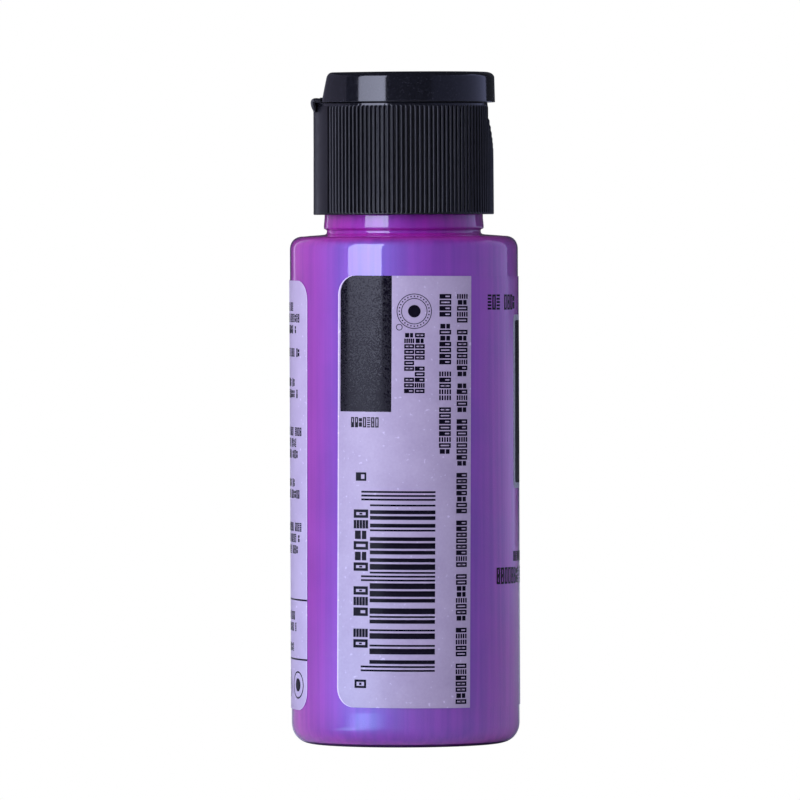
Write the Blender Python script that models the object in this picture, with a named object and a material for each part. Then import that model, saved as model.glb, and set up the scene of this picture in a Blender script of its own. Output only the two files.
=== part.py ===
"""A squeeze bottle of craft paint with a ribbed flip-top closure.

Metres, +Z up. The origin is the centre of the ring that the bottle stands on. The lid's hinge is on
the -X side, its thumb lip on the +X side, and the middle of the label's back panel faces -Y.
"""

import math

import bmesh
import bpy
from mathutils import Matrix, Vector

MM = 0.001
GAP = 0.3 * MM  # between pieces that touch on the real object
SEGMENTS = 48
FACET = 360.0 / SEGMENTS

# Bottle body
BODY_RADIUS = 17.38 * MM
WALL = 0.9 * MM
BASE_CORNER = 3.3 * MM
RING_WIDTH = 1.1 * MM
PUSH_UP_RISE = 1.6 * MM
PUSH_UP_FOOT = 0.3 * MM
PUSH_UP_STEP = 0.4 * MM
SHOULDER_HEIGHT = 77.3 * MM
SHOULDER_RISE = 0.2 * MM
SHOULDER_CORNER = 1.9 * MM
SHOULDER_SWEEP = 87.0  # degrees of the corner's arc, which leaves the shoulder rising a little

# Neck of the bottle
NECK_RADIUS = 10.75 * MM
BORE_RADIUS = 9.5 * MM
BORE_FLARE = 1.2 * MM
BORE_FLARE_HEIGHT = 2.2 * MM
NECK_TOP = 94.7 * MM
LIP_CHAMFER = 0.3 * MM
GROOVE_RADIUS = 11.6 * MM
GROOVE_TOP = 78.3 * MM
BEAD_RADIUS = 12.24 * MM
BEAD_TOP_RADIUS = 11.98 * MM
BEAD_BOTTOM = 78.4 * MM
BEAD_TOP = 81.6 * MM
BEAD_CHAMFER = 0.5 * MM

# Screw thread, right-handed, of one and a half turns
PITCH = 3.175 * MM
THREAD_TURNS = 1.5
THREAD_STEPS = 36  # per turn
THREAD_SINK = 0.35 * MM  # how far a ridge's root is sunk in its wall
THREAD_FADE = 30.0  # degrees over which a ridge's end runs out
THREAD_END_SHARE = 0.3  # how much of its height the ridge keeps at its very end
BOTTLE_CREST = 11.85 * MM
BOTTLE_THREAD_START = 87.8 * MM
CLOSURE_CREST = 11.05 * MM
CREST_HALF = 0.38 * MM
ROOT_HALF = 0.92 * MM

# Paint
PAINT_LEVEL = 84.0 * MM

# Label, whose angles are counted from -Y towards +X
LABEL_START = -35.8
LABEL_END = 302.1
LABEL_BOTTOM = 6.2 * MM
LABEL_TOP = 71.43 * MM
LABEL_GAP = 0.05 * MM
LABEL_THICKNESS = 0.08 * MM
LABEL_CORNER = 2.9 * MM
LABEL_CORNER_STEPS = 5
LABEL_DROP = 0.0084  # fall of the wrap for each unit of its length

# Closure
SKIRT_RADIUS = 13.8 * MM
SKIRT_BOTTOM = 80.57 * MM
RIB_TOP = 97.05 * MM
DECK_TOP = 97.38 * MM
DECK_BOTTOM = 96.1 * MM
RIM_BOTTOM_RADIUS = 13.7 * MM
RIM_TOP_RADIUS = 13.55 * MM
RIM_ROOT = 0.5 * MM  # how far the deck's guide reaches down into the ribbed skirt
CLOSURE_BORE = 12.2 * MM
MOUTH_RELIEF = 12.5 * MM
MOUTH_RELIEF_TOP = 82.6 * MM
MOUTH_RELIEF_CHAMFER = 0.3 * MM
PLATEAU_RADIUS = 10.3 * MM
PLATEAU_DRAFT = 0.3 * MM
PLATEAU_TOP = 98.2 * MM
SPOUT_FOOT = 2.95 * MM
SPOUT_TIP = 2.5 * MM
SPOUT_CHAMFER = 0.3 * MM
SPOUT_TOP = 100.4 * MM
ORIFICE_RADIUS = 1.55 * MM
ORIFICE_CHAMFER = 0.6 * MM

# Ribs of the skirt; the shares are of one rib's pitch
RIB_COUNT = 120
RIB_DEPTH = 0.3 * MM
VALLEY_SHARE = 0.35
CREST_FROM = 0.55
CREST_TO = 0.80
SMOOTH_HALF = 33.0  # degrees each side of -X that carry no ribs
SMOOTH_STEPS = 12

# Thumb scoop, an ellipsoid cut out of the skirt under the lid's lip
SCOOP_HALF = Vector((3.2, 6.3, 9.4)) * MM
SCOOP_DEPTH = 1.25 * MM
SCOOP_CENTRE_Z = 97.6 * MM
SCOOP_TURN = 5.0  # degrees, so that none of the cutter's corners falls on the skirt's own

# Lid
LID_RADIUS = 13.95 * MM
LID_BOTTOM = DECK_TOP + GAP
LID_TOP = 102.3 * MM
LID_DRAFT = 0.1 * MM
LID_EDGE = 0.7 * MM
LID_WALL = 1.2 * MM
LID_ROOF = 1.1 * MM
LID_BACK_FOOT = 12.2 * MM
LID_BACK_HEAD = 11.6 * MM
PIN_RADIUS = 1.2 * MM
PIN_TAPER = 0.2 * MM
PIN_TAPER_HEIGHT = 0.4 * MM
PIN_BOTTOM = 98.9 * MM
PLUG_PAD = 0.2 * MM
SEAL_RING_INNER = 3.05 * MM
SEAL_RING_OUTER = 3.75 * MM
SEAL_RING_BOTTOM = 99.3 * MM

# Living hinge, folded outwards while the lid is shut
HINGE_X = -13.38 * MM
HINGE_Z = 97.72 * MM
HINGE_SIDES = 16
STRAP_RADIUS = 0.62 * MM
FILM_RADIUS = 0.45 * MM
FILM_HALF_WIDTH = 1.9 * MM
STRAP_INNER = 2.3 * MM
STRAP_OUTER = 4.6 * MM
HINGE_SEAT_HALF = STRAP_OUTER + GAP
LEAF_TOP = 98.4 * MM
LEAF_REACH = 3.6 * MM

# How far guides run past what they cut
OVERRUN = 1.0 * MM
WEDGE_OVERRUN = 2.0 * MM
WEDGE_HALF_WIDTH = 15.0 * MM
WEDGE_FAR = -20.0 * MM

# Liner
LINER_RADIUS = 11.6 * MM
LINER_HOLE = 1.8 * MM
LINER_BOTTOM = NECK_TOP + GAP
LINER_TOP = DECK_BOTTOM - GAP


def clear_scene():
    for old in list(bpy.data.objects):
        bpy.data.objects.remove(old, do_unlink=True)


def make_material(name, colour, roughness, metallic=0.0, transmission=0.0):
    material = bpy.data.materials.new(name)
    material.use_nodes = True
    shader = material.node_tree.nodes["Principled BSDF"]
    shader.inputs["Base Color"].default_value = (*colour, 1.0)
    shader.inputs["Roughness"].default_value = roughness
    shader.inputs["Metallic"].default_value = metallic
    shader.inputs["Transmission Weight"].default_value = transmission
    return material


def add_object(name, bm, material=None):
    """Closes the bmesh's seams and links it to the scene as one smooth-shaded object."""
    bmesh.ops.remove_doubles(bm, verts=bm.verts, dist=1e-7)
    bmesh.ops.recalc_face_normals(bm, faces=bm.faces)
    mesh = bpy.data.meshes.new(name)
    bm.to_mesh(mesh)
    bm.free()
    mesh.shade_smooth()
    mesh.set_sharp_from_angle(angle=math.radians(35.0))
    thing = bpy.data.objects.new(name, mesh)
    bpy.context.scene.collection.objects.link(thing)
    if material:
        mesh.materials.append(material)
    return thing


def combine(target, operation, tool):
    """A Boolean modifier on the target; the tool stays as a hidden guide."""
    modifier = target.modifiers.new(f"{operation.lower()}_{tool.name}", "BOOLEAN")
    modifier.operation = operation
    modifier.object = tool
    tool.hide_render = True
    tool.display_type = "WIRE"


def arc(centre, radius, start, end, steps):
    """Points of a circular arc in the outline's (r, z) plane, in degrees from +r."""
    points = []
    for i in range(steps + 1):
        angle = math.radians(start + (end - start) * i / steps)
        points.append((centre[0] + radius * math.cos(angle), centre[1] + radius * math.sin(angle)))
    return points


def dome(half_width, foot, rise, steps):
    """Points of a shallow dome from its crown on the axis out to its foot."""
    radius = (half_width**2 + rise**2) / (2.0 * rise)
    reach = math.asin(half_width / radius)
    points = []
    for i in range(steps + 1):
        angle = reach * i / steps
        points.append((radius * math.sin(angle), foot + rise - radius * (1.0 - math.cos(angle))))
    return points


def turned(name, outline, material=None, closed=False):
    """A solid of revolution; the outline runs from axis to axis, or closes on itself."""
    bm = bmesh.new()
    corners = [bm.verts.new((r, 0.0, z)) for r, z in outline]
    edges = [bm.edges.new(pair) for pair in zip(corners, corners[1:])]
    if closed:
        edges.append(bm.edges.new((corners[-1], corners[0])))
    bmesh.ops.spin(
        bm,
        geom=corners + edges,
        cent=(0.0, 0.0, 0.0),
        axis=(0.0, 0.0, 1.0),
        angle=math.tau,
        steps=SEGMENTS,
        use_merge=True,
    )
    return add_object(name, bm, material)


def thread_ridge(name, wall, crest, start_z):
    """A helical ridge from inside the wall out to the crest, which may lie inwards or outwards."""
    sink = THREAD_SINK if crest < wall else -THREAD_SINK
    root = wall + sink
    steps = int(THREAD_STEPS * THREAD_TURNS)
    sections = []
    bm = bmesh.new()
    for i in range(steps + 1):
        turned_by = 360.0 * THREAD_TURNS * i / steps
        left = 360.0 * THREAD_TURNS - turned_by
        full = min(1.0, turned_by / THREAD_FADE, left / THREAD_FADE)
        tip = root + (crest - root) * max(full, THREAD_END_SHARE)
        angle = math.radians(turned_by)
        middle = start_z + PITCH * turned_by / 360.0
        section = []
        for r, dz in ((root, -ROOT_HALF), (tip, -CREST_HALF), (tip, CREST_HALF), (root, ROOT_HALF)):
            section.append(bm.verts.new((r * math.cos(angle), r * math.sin(angle), middle + dz)))
        sections.append(section)
    for near, far in zip(sections, sections[1:]):
        for k in range(4):
            j = (k + 1) % 4
            bm.faces.new((near[k], near[j], far[j], far[k]))
    bm.faces.new(sections[0])
    bm.faces.new(sections[-1])
    return add_object(name, bm)


def extruded(name, outline, bottom, top, material=None):
    """A prism on an outline of (x, y) points."""
    bm = bmesh.new()
    face = bm.faces.new([bm.verts.new((x, y, bottom)) for x, y in outline])
    raised = bmesh.ops.extrude_face_region(bm, geom=[face])
    lifted = [part for part in raised["geom"] if isinstance(part, bmesh.types.BMVert)]
    bmesh.ops.translate(bm, verts=lifted, vec=(0.0, 0.0, top - bottom))
    return add_object(name, bm, material)


def rod_along_y(name, radius, low_y, high_y, material):
    """A round bar on the hinge's axis."""
    bm = bmesh.new()
    place = Matrix.Translation((HINGE_X, 0.5 * (low_y + high_y), HINGE_Z))
    place @= Matrix.Rotation(math.radians(90.0), 4, "X")
    bmesh.ops.create_cone(
        bm,
        cap_ends=True,
        segments=HINGE_SIDES,
        radius1=radius,
        radius2=radius,
        depth=high_y - low_y,
        matrix=place,
    )
    return add_object(name, bm, material)


def bottle_outside():
    """From the crown of the push-up, out round the base and up to the lip."""
    ring_outer = BODY_RADIUS - BASE_CORNER
    ring_inner = ring_outer - RING_WIDTH
    side_top = SHOULDER_HEIGHT - SHOULDER_CORNER
    shoulder_r = BODY_RADIUS - SHOULDER_CORNER
    outline = dome(ring_inner - PUSH_UP_STEP, PUSH_UP_FOOT, PUSH_UP_RISE, 3)
    outline.append((ring_inner, 0.0))
    outline += arc((ring_outer, BASE_CORNER), BASE_CORNER, -90.0, 0.0, 5)
    outline += arc((shoulder_r, side_top), SHOULDER_CORNER, 0.0, SHOULDER_SWEEP, 4)
    outline.append((GROOVE_RADIUS, SHOULDER_HEIGHT + SHOULDER_RISE))
    outline.append((GROOVE_RADIUS, GROOVE_TOP))
    outline.append((BEAD_RADIUS, BEAD_BOTTOM))
    outline.append((BEAD_TOP_RADIUS, BEAD_TOP))
    outline.append((NECK_RADIUS, BEAD_TOP + BEAD_CHAMFER))
    outline.append((NECK_RADIUS, NECK_TOP - LIP_CHAMFER))
    outline.append((NECK_RADIUS - LIP_CHAMFER, NECK_TOP))
    return outline


def inner_outline(inset):
    """From the crown of the push-up, up to the bore, an inset inside the bottle's inner wall."""
    side = BODY_RADIUS - WALL - inset
    corner = BASE_CORNER - WALL - inset
    foot = WALL + inset
    roof = SHOULDER_HEIGHT - WALL - inset
    roof_corner = SHOULDER_CORNER - WALL
    ring = BODY_RADIUS - BASE_CORNER
    outline = dome(ring - RING_WIDTH, foot, PUSH_UP_RISE, 3)
    outline += arc((ring, foot + corner), corner, -90.0, 0.0, 4)
    outline += arc((side - roof_corner, roof - roof_corner), roof_corner, 0.0, 90.0, 3)
    outline.append((BORE_RADIUS + BORE_FLARE - inset, roof))
    outline.append((BORE_RADIUS - inset, roof + BORE_FLARE_HEIGHT))
    return outline


def make_bottle():
    clear_pet = make_material("clear_pet", (0.86, 0.84, 0.9), 0.06, transmission=0.9)
    outline = bottle_outside()
    outline.append((BORE_RADIUS, NECK_TOP))
    outline += reversed(inner_outline(0.0))
    bottle = turned("bottle", outline, clear_pet)
    ridge = thread_ridge("bottle_thread_guide", NECK_RADIUS, BOTTLE_CREST, BOTTLE_THREAD_START)
    combine(bottle, "UNION", ridge)


def make_paint():
    pearl = make_material("violet_pearl_paint", (0.28, 0.04, 0.42), 0.35)
    outline = inner_outline(GAP)
    outline.append((BORE_RADIUS - GAP, PAINT_LEVEL))
    outline.append((0.0, PAINT_LEVEL))
    turned("paint", outline, pearl)


def facet_share(angle):
    """How near the axis a faceted wall is at an angle, as a share of its corners' radius."""
    off_middle = angle % FACET - 0.5 * FACET
    return math.cos(math.radians(0.5 * FACET)) / math.cos(math.radians(off_middle))


def label_columns():
    """(angle, trim) along the label; the trim rounds its four corners."""
    per_metre = math.degrees(1.0 / BODY_RADIUS)
    columns = []
    for i in range(LABEL_CORNER_STEPS + 1):
        swing = math.radians(90.0 * i / LABEL_CORNER_STEPS)
        along = LABEL_CORNER * (1.0 - math.cos(swing)) * per_metre
        trim = LABEL_CORNER * (1.0 - math.sin(swing))
        columns.append((LABEL_START + along, trim))
        columns.append((LABEL_END - along, trim))
    first_clear = LABEL_START + LABEL_CORNER * per_metre
    last_clear = LABEL_END - LABEL_CORNER * per_metre
    for i in range(math.ceil(LABEL_START / FACET), math.floor(LABEL_END / FACET) + 1):
        angle = i * FACET
        if first_clear < angle < last_clear:
            columns.append((angle, 0.0))
            continue
        near_end = min(angle - LABEL_START, LABEL_END - angle) / per_metre
        reach = LABEL_CORNER - near_end
        columns.append((angle, LABEL_CORNER - math.sqrt(LABEL_CORNER**2 - reach**2)))
    return sorted(columns)


def make_label():
    film = make_material("label_film", (0.62, 0.55, 0.75), 0.3)
    inner = BODY_RADIUS + LABEL_GAP
    outer = inner + LABEL_THICKNESS
    bm = bmesh.new()
    sections = []
    for angle, trim in label_columns():
        around = math.radians(angle)
        share = facet_share(angle)
        fall = LABEL_DROP * BODY_RADIUS * math.radians(angle - LABEL_START)
        low = LABEL_BOTTOM + trim - fall
        high = LABEL_TOP - trim - fall
        section = []
        for radius, z in ((inner, low), (outer, low), (outer, high), (inner, high)):
            reach = radius * share
            section.append(bm.verts.new((reach * math.sin(around), -reach * math.cos(around), z)))
        sections.append(section)
    for near, far in zip(sections, sections[1:]):
        for k in range(4):
            j = (k + 1) % 4
            bm.faces.new((near[k], near[j], far[j], far[k]))
    bm.faces.new(sections[0])
    bm.faces.new(sections[-1])
    add_object("label", bm, film)


def ribbed_outline():
    """The skirt's outline: ribs all round, apart from the smooth stretch under the hinge."""
    rib = 360.0 / RIB_COUNT
    first = -180.0 + SMOOTH_HALF
    last = 180.0 - SMOOTH_HALF
    count = int((last - first) / rib)
    polar = []
    for i in range(count):
        start = first + rib * i
        polar.append((start, SKIRT_RADIUS - RIB_DEPTH))
        polar.append((start + VALLEY_SHARE * rib, SKIRT_RADIUS - RIB_DEPTH))
        polar.append((start + CREST_FROM * rib, SKIRT_RADIUS))
        polar.append((start + CREST_TO * rib, SKIRT_RADIUS))
    smooth_from = first + rib * count
    for i in range(1, SMOOTH_STEPS):
        angle = smooth_from + (360.0 + first - smooth_from) * i / SMOOTH_STEPS
        polar.append((angle, SKIRT_RADIUS))
    return [(r * math.cos(math.radians(a)), r * math.sin(math.radians(a))) for a, r in polar]


def scoop_cutter():
    bm = bmesh.new()
    centre_x = SKIRT_RADIUS - SCOOP_DEPTH + SCOOP_HALF.x
    place = Matrix.Translation((centre_x, 0.0, SCOOP_CENTRE_Z)) @ Matrix.Diagonal((*SCOOP_HALF, 1.0))
    off_axis = Matrix.Rotation(math.radians(SCOOP_TURN), 4, "Z")
    bmesh.ops.create_uvsphere(bm, u_segments=24, v_segments=16, radius=1.0, matrix=place @ off_axis)
    return add_object("scoop_guide", bm)


def hinge_seat_cutter():
    """The notch in the skirt's rim that the folded straps lie in."""
    low_x = HINGE_X - OVERRUN
    high_x = HINGE_X + STRAP_RADIUS + GAP
    outline = [(low_x, -HINGE_SEAT_HALF), (high_x, -HINGE_SEAT_HALF)]
    outline += [(high_x, HINGE_SEAT_HALF), (low_x, HINGE_SEAT_HALF)]
    return extruded("hinge_seat_guide", outline, HINGE_Z - STRAP_RADIUS - GAP, LID_TOP)


def closure_bore_cutter():
    """The room inside the closure: relieved mouth, threaded bore and the orifice through the spout."""
    below = SKIRT_BOTTOM - OVERRUN
    above = SPOUT_TOP + OVERRUN
    outline = [
        (0.0, below),
        (MOUTH_RELIEF, below),
        (MOUTH_RELIEF, MOUTH_RELIEF_TOP),
        (CLOSURE_BORE, MOUTH_RELIEF_TOP + MOUTH_RELIEF_CHAMFER),
        (CLOSURE_BORE, DECK_BOTTOM),
        (ORIFICE_RADIUS + ORIFICE_CHAMFER, DECK_BOTTOM),
        (ORIFICE_RADIUS, DECK_BOTTOM + ORIFICE_CHAMFER),
        (ORIFICE_RADIUS, above),
        (0.0, above),
    ]
    return turned("closure_bore_guide", outline)


def closure_top():
    """The smooth rim, the plateau that the lid drops over, and the spout."""
    outline = [
        (0.0, RIB_TOP - RIM_ROOT),
        (SKIRT_RADIUS - 2.0 * RIM_ROOT, RIB_TOP - RIM_ROOT),
        (RIM_BOTTOM_RADIUS, RIB_TOP),
        (RIM_TOP_RADIUS, DECK_TOP),
        (PLATEAU_RADIUS, DECK_TOP),
        (PLATEAU_RADIUS - PLATEAU_DRAFT, PLATEAU_TOP),
        (SPOUT_FOOT, PLATEAU_TOP),
        (SPOUT_TIP, SPOUT_TOP - SPOUT_CHAMFER),
        (SPOUT_TIP - SPOUT_CHAMFER, SPOUT_TOP),
        (0.0, SPOUT_TOP),
    ]
    return turned("closure_top_guide", outline)


def make_cap_body():
    black = make_material("black_polypropylene", (0.022, 0.022, 0.03), 0.38)
    cap_body = extruded("cap_body", ribbed_outline(), SKIRT_BOTTOM, RIB_TOP, black)
    combine(cap_body, "UNION", closure_top())
    combine(cap_body, "DIFFERENCE", closure_bore_cutter())
    start = BOTTLE_THREAD_START - 0.5 * PITCH
    combine(cap_body, "UNION", thread_ridge("closure_thread_guide", CLOSURE_BORE, CLOSURE_CREST, start))
    combine(cap_body, "DIFFERENCE", scoop_cutter())
    combine(cap_body, "DIFFERENCE", hinge_seat_cutter())


def make_liner():
    foam = make_material("liner_foam", (0.82, 0.82, 0.8), 0.8)
    outline = [
        (LINER_HOLE, LINER_BOTTOM),
        (LINER_RADIUS, LINER_BOTTOM),
        (LINER_RADIUS, LINER_TOP),
        (LINER_HOLE, LINER_TOP),
    ]
    turned("liner", outline, foam, closed=True)


def back_wedge(name, inset):
    """What a slanted plane takes off the hinge side of the lid, or of its hollow."""
    foot = -LID_BACK_FOOT + inset
    head = -LID_BACK_HEAD + inset
    slope = (head - foot) / (LID_TOP - LID_BOTTOM)
    low = LID_BOTTOM - WEDGE_OVERRUN
    high = LID_TOP + WEDGE_OVERRUN
    corners = [(WEDGE_FAR, low), (foot - slope * WEDGE_OVERRUN, low)]
    corners += [(head + slope * WEDGE_OVERRUN, high), (WEDGE_FAR, high)]
    bm = bmesh.new()
    face = bm.faces.new([bm.verts.new((x, -WEDGE_HALF_WIDTH, z)) for x, z in corners])
    swept = bmesh.ops.extrude_face_region(bm, geom=[face])
    moved = [part for part in swept["geom"] if isinstance(part, bmesh.types.BMVert)]
    bmesh.ops.translate(bm, verts=moved, vec=(0.0, 2.0 * WEDGE_HALF_WIDTH, 0.0))
    return add_object(name, bm)


def lid_hollow():
    radius = LID_RADIUS - LID_WALL
    roof = LID_TOP - LID_ROOF
    below = LID_BOTTOM - OVERRUN
    hollow = turned("lid_hollow_guide", [(0.0, below), (radius, below), (radius, roof), (0.0, roof)])
    combine(hollow, "DIFFERENCE", back_wedge("lid_hollow_back_guide", LID_WALL))
    return hollow


def lid_plug():
    """The pin that shuts the orifice and the ring that grips the spout's tip, on one round pad."""
    roof = LID_TOP - 0.5 * LID_ROOF
    pad = LID_TOP - LID_ROOF - PLUG_PAD
    outline = [
        (0.0, PIN_BOTTOM),
        (PIN_RADIUS - PIN_TAPER, PIN_BOTTOM),
        (PIN_RADIUS, PIN_BOTTOM + PIN_TAPER_HEIGHT),
        (PIN_RADIUS, pad),
        (SEAL_RING_INNER, pad),
        (SEAL_RING_INNER, SEAL_RING_BOTTOM),
        (SEAL_RING_OUTER, SEAL_RING_BOTTOM),
        (SEAL_RING_OUTER, roof),
        (0.0, roof),
    ]
    return turned("lid_plug_guide", outline)


def lid_leaf():
    """The lid's leaf of the hinge, which reaches back from the foot of its rear wall."""
    rear = HINGE_X + STRAP_RADIUS + GAP
    front = rear + LEAF_REACH
    outline = [(rear, -STRAP_OUTER), (front, -STRAP_OUTER), (front, STRAP_OUTER), (rear, STRAP_OUTER)]
    return extruded("lid_leaf_guide", outline, LID_BOTTOM, LEAF_TOP)


def make_lid():
    gloss = make_material("black_polypropylene_gloss", (0.016, 0.016, 0.024), 0.16)
    outline = [(0.0, LID_BOTTOM), (LID_RADIUS, LID_BOTTOM)]
    outline += arc((LID_RADIUS - LID_DRAFT - LID_EDGE, LID_TOP - LID_EDGE), LID_EDGE, 0.0, 90.0, 3)
    outline.append((0.0, LID_TOP))
    lid = turned("lid", outline, gloss)
    combine(lid, "DIFFERENCE", back_wedge("lid_back_guide", 0.0))
    combine(lid, "UNION", lid_leaf())
    combine(lid, "DIFFERENCE", lid_hollow())
    combine(lid, "UNION", lid_plug())
    hinge = Vector((HINGE_X, 0.0, HINGE_Z))
    lid.data.transform(Matrix.Translation(-hinge))
    lid.location = hinge


def make_hinge():
    black = make_material("black_polypropylene_hinge", (0.02, 0.02, 0.028), 0.3)
    rod_along_y("hinge_film", FILM_RADIUS, -FILM_HALF_WIDTH, FILM_HALF_WIDTH, black)
    rod_along_y("hinge_strap_near", STRAP_RADIUS, -STRAP_OUTER, -STRAP_INNER, black)
    rod_along_y("hinge_strap_far", STRAP_RADIUS, STRAP_INNER, STRAP_OUTER, black)


def main():
    clear_scene()
    make_bottle()
    make_paint()
    make_label()
    make_cap_body()
    make_liner()
    make_lid()
    make_hinge()


main()
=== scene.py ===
"""Looks for the squeeze bottle of violet paint: its surfaces, its printed label and a small studio.

Metres, +Z up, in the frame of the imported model. Angles of the label and of the lights are counted from
-Y, where the camera stands, towards +X, and all others from +X. A place on the label is (u, v): u runs
round the wall from -Y as a length on it, and v is the height at the label's leading end.
"""

import math
import random

import bmesh
import bpy
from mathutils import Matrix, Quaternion, Vector


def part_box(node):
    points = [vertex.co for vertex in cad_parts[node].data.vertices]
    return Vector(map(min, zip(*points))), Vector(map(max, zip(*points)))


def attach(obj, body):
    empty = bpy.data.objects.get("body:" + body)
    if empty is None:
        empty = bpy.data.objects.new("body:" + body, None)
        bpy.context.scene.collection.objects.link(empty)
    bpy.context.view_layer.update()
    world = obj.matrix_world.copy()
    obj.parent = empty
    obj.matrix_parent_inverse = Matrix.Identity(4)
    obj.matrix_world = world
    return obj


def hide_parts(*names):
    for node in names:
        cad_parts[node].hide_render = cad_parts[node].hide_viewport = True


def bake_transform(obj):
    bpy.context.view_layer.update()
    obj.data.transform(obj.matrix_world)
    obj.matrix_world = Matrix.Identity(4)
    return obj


MM = 0.001

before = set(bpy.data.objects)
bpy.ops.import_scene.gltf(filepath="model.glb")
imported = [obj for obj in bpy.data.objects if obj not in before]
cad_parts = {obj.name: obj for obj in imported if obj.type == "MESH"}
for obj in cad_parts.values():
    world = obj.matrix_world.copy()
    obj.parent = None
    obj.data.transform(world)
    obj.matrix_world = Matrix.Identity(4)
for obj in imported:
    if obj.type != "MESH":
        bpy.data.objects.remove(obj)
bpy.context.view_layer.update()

# Driving sizes, read from the frame
BODY_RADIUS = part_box("bottle")[1].x
NECK_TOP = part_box("bottle")[1].z
PAINT_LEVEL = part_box("paint")[1].z
SKIRT_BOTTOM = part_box("cap_body")[0].z
SPOUT_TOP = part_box("cap_body")[1].z
LID_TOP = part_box("lid")[1].z
LINER_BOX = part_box("liner")
STRAP_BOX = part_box("hinge_strap_near")

# Bottle
BASE_CORNER = 3.3 * MM
BASE_CORNER_POWER = 2.2
BASE_STEPS = 24
RING_WIDTH = 1.1 * MM
RING_STEP = ((-0.5, 0.35), (0.0, 0.08), (0.2, 0.0))  # mm out from the standing ring's inner edge, and up
FOOT_HEIGHT = 0.52 * MM  # the band painted dark: a painted contact shadow under the bottle
PUSH_UP_RISE = 1.9 * MM
PUSH_UP_LINE = ((0.0, 1.0), (0.35, 0.92), (0.7, 0.6))  # shares of the ring's radius and of the rise
PUSH_UP_INSIDE = (0.6, 0.75)  # a point on its inner face, in such shares
SHOULDER_HEIGHT = 77.57 * MM
SHOULDER_RIM = 77.3 * MM  # where the sloping shoulder turns down into the side
SHOULDER_CORNER = 2.15 * MM
SHOULDER_POWER = 2.35
SHOULDER_STEPS = 16
SHOULDER_SWEEP = 84.0  # degrees of its rounded corner
GROOVE_LINE = (  # (r, z) in mm, up the shoulder, round the groove and up the bead
    (15.2, 77.3), (14.3, 77.38), (13.2, 77.46), (12.4, 77.52), (12.02, 77.58),
    (11.84, 77.68), (11.76, 77.84), (11.73, 78.02), (11.74, 78.16), (11.8, 78.27),
    (11.92, 78.34), (12.08, 78.39), (12.16, 78.48), (12.19, 78.7), (12.17, 79.1),
    (12.08, 80.0), (12.07, 80.5),
)
WALL = 0.9 * MM
INNER_CORNER = 1.0 * MM
INNER_STEPS = (8, 6)  # of its corners at the foot and at the roof
NECK_RADIUS = 10.75 * MM
NECK_LOOK_DROP = 0.2 * MM  # how far the neck's look reaches down over the shoulder's rim
BORE_RADIUS = 9.5 * MM
BORE_FLARE = (1.2 * MM, 2.2 * MM)  # how far the bore widens at its foot, and over what height
BEAD_TOP = 81.6 * MM
BEAD_LINE = ((11.99, 0.0), (11.9, 0.12), (10.85, 0.5), (10.75, 0.7))  # mm: radius, height over BEAD_TOP
LIP_LINE = ((0.0, -0.3), (-0.1, -0.08), (-0.3, 0.0))  # mm from the neck's radius and its top
PITCH = 3.175 * MM
THREAD_TURNS = 1.5
THREAD_START = 87.8 * MM
THREAD_CREST = 11.85 * MM
THREAD_ROOT = NECK_RADIUS - 0.3 * MM
THREAD_PROFILE = ((0.0, 0.92), (0.55, 0.66), (0.9, 0.42), (1.0, 0.28))  # height's share, mm off its middle
THREAD_RISE = 30.0  # degrees over which it grows at each end
THREAD_LEAST = 0.3  # share of the full height at its very ends

# Paint
PAINT_GAP = 0.05 * MM
PAINT_RIM = ((-0.05, -0.02), (-0.6, -0.3))  # mm from the bore's radius and the paint's level
PAINT_DIP = 0.35 * MM

# Label
LABEL_START = -35.5  # degrees
LABEL_END = 302.1
LABEL_BOTTOM = 6.2 * MM
LABEL_TOP = 71.43 * MM
LABEL_MIDDLE = 38.8 * MM
LABEL_CORNER = 2.9 * MM
LABEL_EDGE = 0.2 * MM  # width of the paler line along the die-cut ends: an unprinted margin, lightened as a painted highlight on the cut edge
EDGE_STRIP = 4.0 * MM  # width of the pale strip under each end, which shows as that line
BACK_PANEL_END = 10.5 * MM
TRAILING_PANEL_START = 234.0  # degrees
LABEL_DROP = 0.0084  # its slant, as a slope
FILM_LEVEL = 0.1 * MM  # outer face of the film above the bottle's wall
PANEL_LEVEL = 0.112 * MM
PRINT_LEVEL = 0.12 * MM
FILM_THICKNESS = 0.05 * MM
INK_THICKNESS = 0.01 * MM
EDGE_THICKNESS = 0.004 * MM
SLAB_STEP = 0.5 * MM  # longest flat along the wall
SLAB_LEAST = 0.01 * MM  # least height of a column
CORNER_STEPS = 8
DISC_STEPS = 12

# Print; the lines' places and sizes are (u, v, length, height, advance) in mm
MARK_SPAN = 0.8  # a mark's width as a share of the advance
MARK_STROKE = (0.29, 0.18)  # its stroke is the lesser of these shares of the advance and the height
SEEDS = {"stripes": 11, "back": 5, "trailing": 23, "front": 31, "strokes": 2}
WORD_LENGTHS = (3, 8)
BLOCK_BOTTOM = 50.9 * MM
BLOCK_END = -2.1 * MM
BLOCK_INSET = 0.45 * MM
BLOCK_CORNER = LABEL_CORNER - 0.3 * MM
BLOCK_CAPTION = ((-8.5, 49.3, 5.0, 1.55, 0.65),)
STRIPES_U = (-5.3 * MM, 4.65 * MM)
STRIPES_V = (11.7 * MM, 39.2 * MM)
LONG_STRIPE_START = -6.7 * MM
STRIPE_UNIT = 0.29 * MM
LONG_ROWS = (4, 6, 3)  # units of long stripes at the bottom, at the top and each side of the middle
STRIPE_ROWS = (1, 1, 2, 2, 3)  # units in a stripe, to draw from
STRIPE_GAPS = (1, 1, 2, 3)
STRIPES_CAPTION = (
    (-6.75, 41.9, 1.6, 1.7, 1.6),
    (-6.75, 36.3, 9.7, 2.35, 1.6),
    (-6.75, 24.7, 9.8, 2.35, 1.6),
    (-6.75, 10.6, 1.6, 1.9, 1.6),
)
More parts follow.
